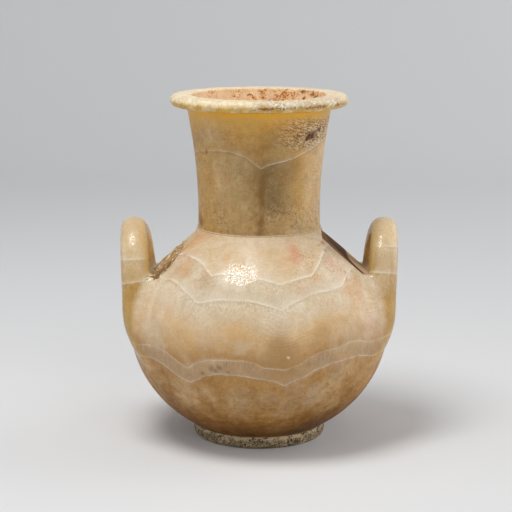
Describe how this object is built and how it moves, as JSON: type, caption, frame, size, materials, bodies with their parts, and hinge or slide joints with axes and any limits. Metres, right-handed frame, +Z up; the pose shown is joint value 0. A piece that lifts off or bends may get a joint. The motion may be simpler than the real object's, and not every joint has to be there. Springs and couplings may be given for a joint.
{
  "type": "krater",
  "caption": "Globular stone krater on a low ring foot, with a wide flaring neck, a flat rounded lip and upright loop handles at the shoulder.",
  "frame": {"origin": "on the table at the centre of the foot ring's underside", "axes": "+Z up along the vessel's axis, +X through the right handle, -Y towards the front of the picture"},
  "size_m": [0.2246, 0.213, 0.28],
  "materials": {
    "globe_stone": "satin",
    "handle_stone": "satin",
    "neck_stone": "satin",
    "foot_stone": "matte",
    "bedding": "matte"
  },
  "bodies": {
    "root": {"foot_ring": "foot_stone", "foot_bed": "bedding", "globe": "globe_stone", "handle_right": "handle_stone", "handle_left": "handle_stone", "neck_bed": "bedding", "neck": "neck_stone"}
  },
  "joints": []
}
